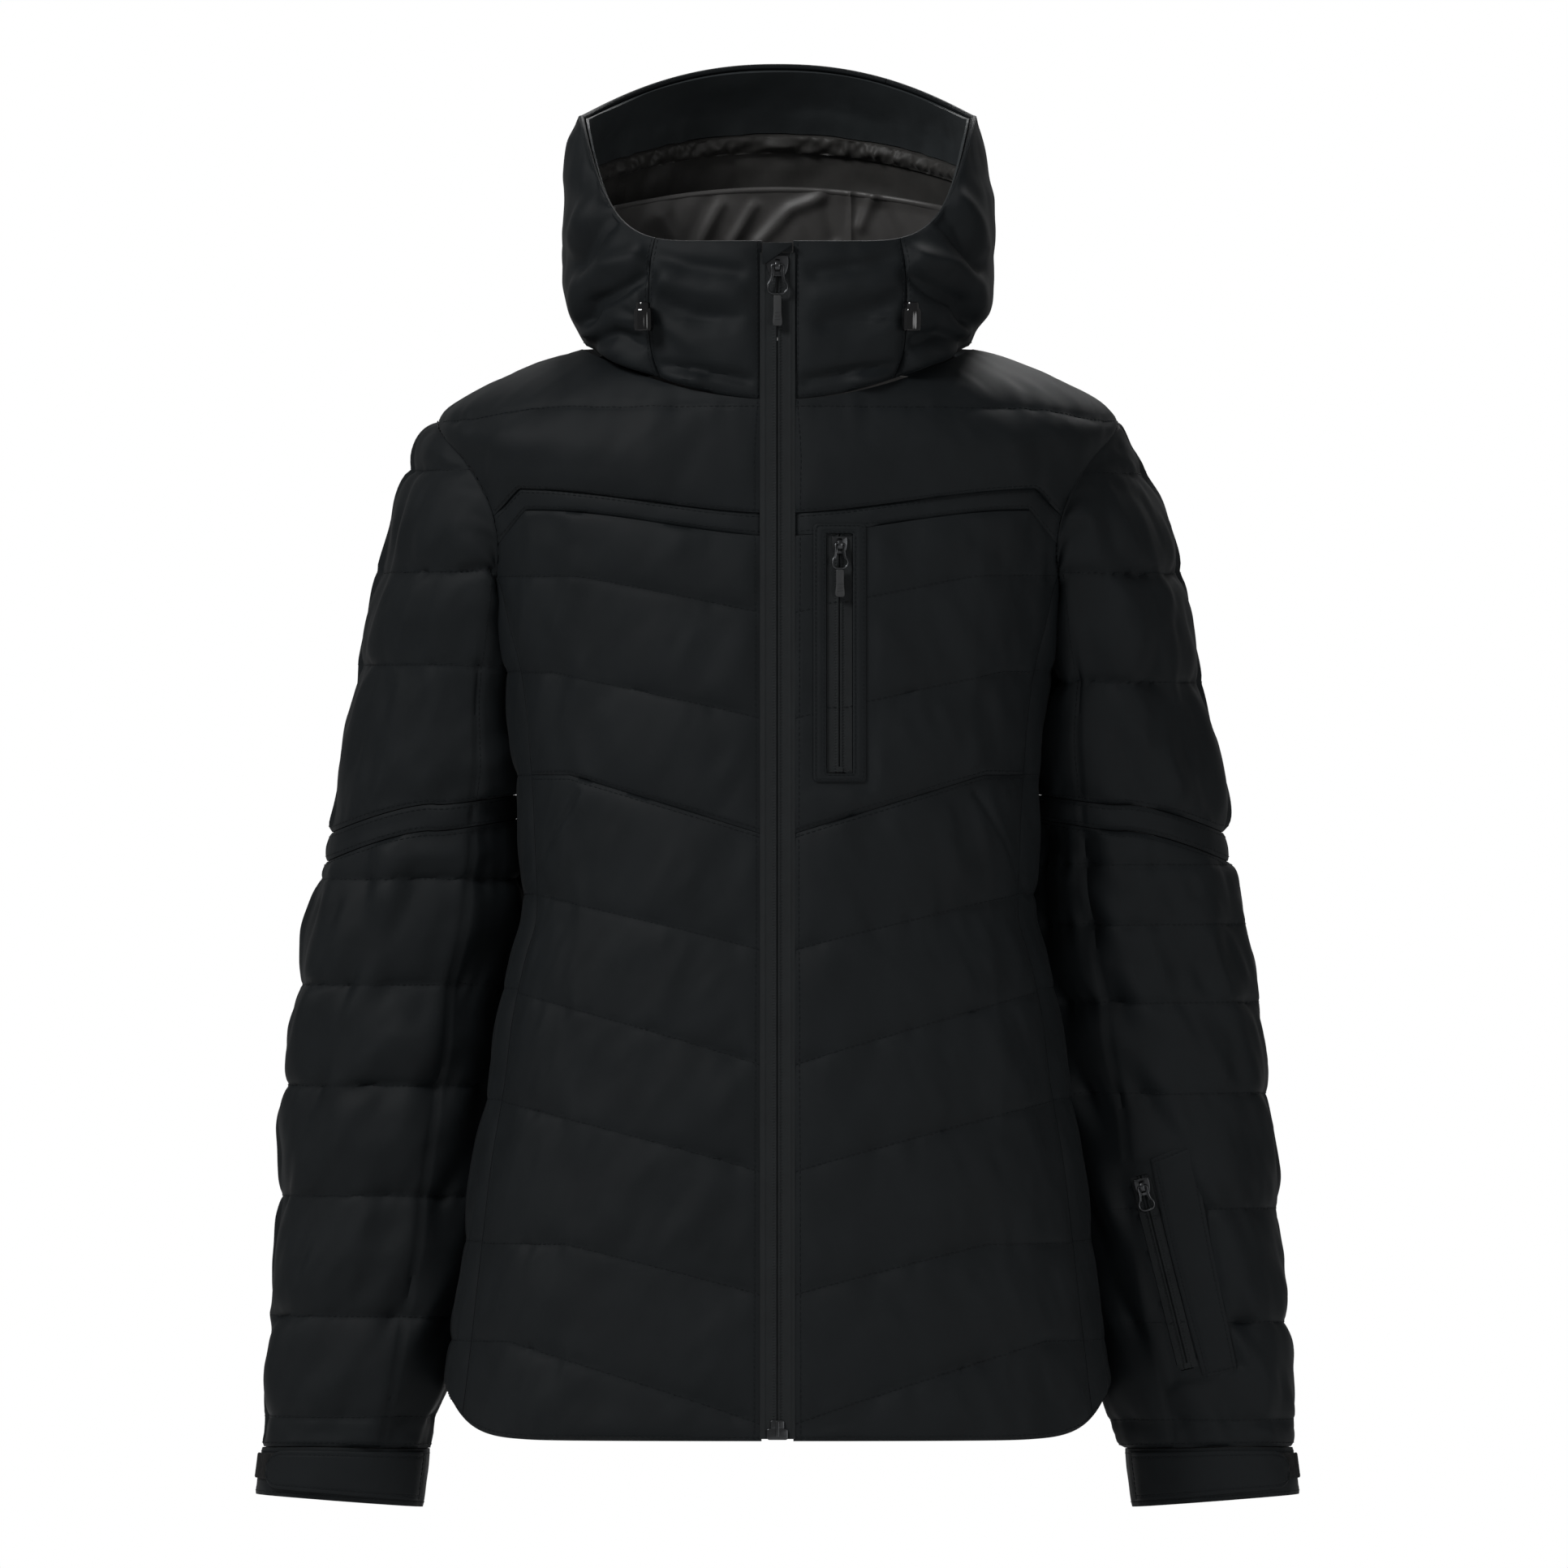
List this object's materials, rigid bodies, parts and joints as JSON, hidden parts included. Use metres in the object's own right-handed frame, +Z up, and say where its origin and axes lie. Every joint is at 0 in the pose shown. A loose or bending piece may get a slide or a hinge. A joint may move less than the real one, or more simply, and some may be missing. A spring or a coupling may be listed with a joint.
{
  "type": "ski jacket",
  "caption": "Women's insulated, hooded ski jacket with quilted panels, full-length front zip, chest and sleeve zip pockets, hood cord locks and adjustable cuff tabs.",
  "frame": {"origin": "middle of the hang loop inside the back neck", "axes": "+Z up, +X to the wearer's left, so the front of the jacket faces -Y"},
  "size_m": [0.6442, 0.287, 0.892],
  "materials": {
    "shell_fabric": "matte",
    "lining_satin": "satin",
    "zip_tape": "matte",
    "gunmetal": "satin",
    "pull_rubber": "matte",
    "lock_plastic": "gloss",
    "loop_pile": "matte"
  },
  "bodies": {
    "body": {"front_yoke_left": "shell_fabric", "front_yoke_right": "shell_fabric", "yoke_welt_left": "shell_fabric", "yoke_welt_right": "shell_fabric", "chest_panel_left": "shell_fabric", "chest_panel_right": "shell_fabric", "lower_front_left": "shell_fabric", "lower_front_right": "shell_fabric", "side_panel_left": "shell_fabric", "side_panel_right": "shell_fabric", "chin_panel_left": "shell_fabric", "chin_panel_right": "shell_fabric", "hood_side_left": "shell_fabric", "hood_side_right": "shell_fabric", "back_panel": "shell_fabric", "back_yoke": "shell_fabric", "hood_crown": "shell_fabric", "brim_facing": "shell_fabric", "zip_garage": "shell_fabric", "chest_pocket_frame": "shell_fabric", "body_lining": "lining_satin", "hood_lining": "lining_satin", "hood_channel": "lining_satin", "collar_lining": "lining_satin", "chest_pocket_bag": "lining_satin", "hand_pocket_bag_left": "lining_satin", "hand_pocket_bag_right": "lining_satin", "chest_zip_tape": "zip_tape", "hang_loop": "zip_tape", "main_zip_tape_left": "zip_tape", "main_zip_tape_right": "zip_tape", "main_zip_box": "gunmetal", "cord_lock_left": "lock_plastic", "cord_lock_right": "lock_plastic"},
    "main_slider": {"main_slider": "gunmetal"},
    "main_pull": {"main_bail": "gunmetal", "main_pull": "pull_rubber"},
    "chest_slider": {"chest_slider": "gunmetal"},
    "chest_pull": {"chest_bail": "gunmetal", "chest_pull": "pull_rubber"},
    "sleeve_left": {"upper_sleeve_left": "shell_fabric", "elbow_band_left": "shell_fabric", "lower_sleeve_left": "shell_fabric", "cuff_left": "shell_fabric", "loop_patch_left": "loop_pile", "sleeve_lining_left": "lining_satin", "sleeve_zip_tape": "zip_tape", "sleeve_pocket_flap": "shell_fabric"},
    "sleeve_right": {"upper_sleeve_right": "shell_fabric", "elbow_band_right": "shell_fabric", "lower_sleeve_right": "shell_fabric", "cuff_right": "shell_fabric", "loop_patch_right": "loop_pile", "sleeve_lining_right": "lining_satin"},
    "sleeve_slider": {"sleeve_slider": "gunmetal"},
    "sleeve_pull": {"sleeve_bail": "gunmetal"},
    "cuff_tab_left": {"cuff_tab_left": "shell_fabric"},
    "cuff_tab_right": {"cuff_tab_right": "shell_fabric"},
    "lock_button_left": {"cord_lock_button_left": "lock_plastic"},
    "lock_button_right": {"cord_lock_button_right": "lock_plastic"}
  },
  "joints": [
    {"name": "main_zip_slide", "type": "slide", "parent": "body", "child": "main_slider", "axis": [0, -0.0499, -0.9988], "range_m": [0, 0.675]},
    {"name": "main_pull_swing", "type": "hinge", "parent": "main_slider", "child": "main_pull", "pos_m": [0, -0.18815, 0.05117], "axis": [-1, 0, 0], "range_deg": [0, 150]},
    {"name": "chest_zip_slide", "type": "slide", "parent": "body", "child": "chest_slider", "axis": [0, -0.0468, -0.9989], "range_m": [0, 0.125]},
    {"name": "chest_pull_swing", "type": "hinge", "parent": "chest_slider", "child": "chest_pull", "pos_m": [0.03826, -0.19536, -0.11985], "axis": [-0.9964, -0.0847, 0.004], "range_deg": [0, 150]},
    {"name": "shoulder_left", "type": "hinge", "parent": "body", "child": "sleeve_left", "pos_m": [0.211, -0.0698, -0.04], "axis": [0, -1, 0], "range_deg": [0, 25]},
    {"name": "shoulder_right", "type": "hinge", "parent": "body", "child": "sleeve_right", "pos_m": [-0.211, -0.0698, -0.04], "axis": [0, 1, 0], "range_deg": [0, 25]},
    {"name": "sleeve_zip_slide", "type": "slide", "parent": "sleeve_left", "child": "sleeve_slider", "axis": [0.2419, 0.0405, -0.9694], "range_m": [0, 0.105]},
    {"name": "sleeve_pull_swing", "type": "hinge", "parent": "sleeve_slider", "child": "sleeve_pull", "pos_m": [0.22438, -0.09189, -0.51436], "axis": [-0.9638, 0.1256, -0.2353], "range_deg": [0, 100]},
    {"name": "cuff_tab_open_left", "type": "hinge", "parent": "sleeve_left", "child": "cuff_tab_left", "pos_m": [0.21768, -0.06195, -0.69316], "axis": [0.1172, -0.0033, -0.9931], "range_deg": [0, 110]},
    {"name": "lock_press_left", "type": "slide", "parent": "body", "child": "lock_button_left", "axis": [-0.0149, 0.0135, -0.9998], "range_m": [0, 0.003], "stiffness_N_per_m": 600},
    {"name": "cuff_tab_open_right", "type": "hinge", "parent": "sleeve_right", "child": "cuff_tab_right", "pos_m": [-0.21768, -0.06195, -0.69316], "axis": [0.1172, 0.0033, 0.9931], "range_deg": [0, 110]},
    {"name": "lock_press_right", "type": "slide", "parent": "body", "child": "lock_button_right", "axis": [0.0149, 0.0135, -0.9998], "range_m": [0, 0.003], "stiffness_N_per_m": 600}
  ]
}
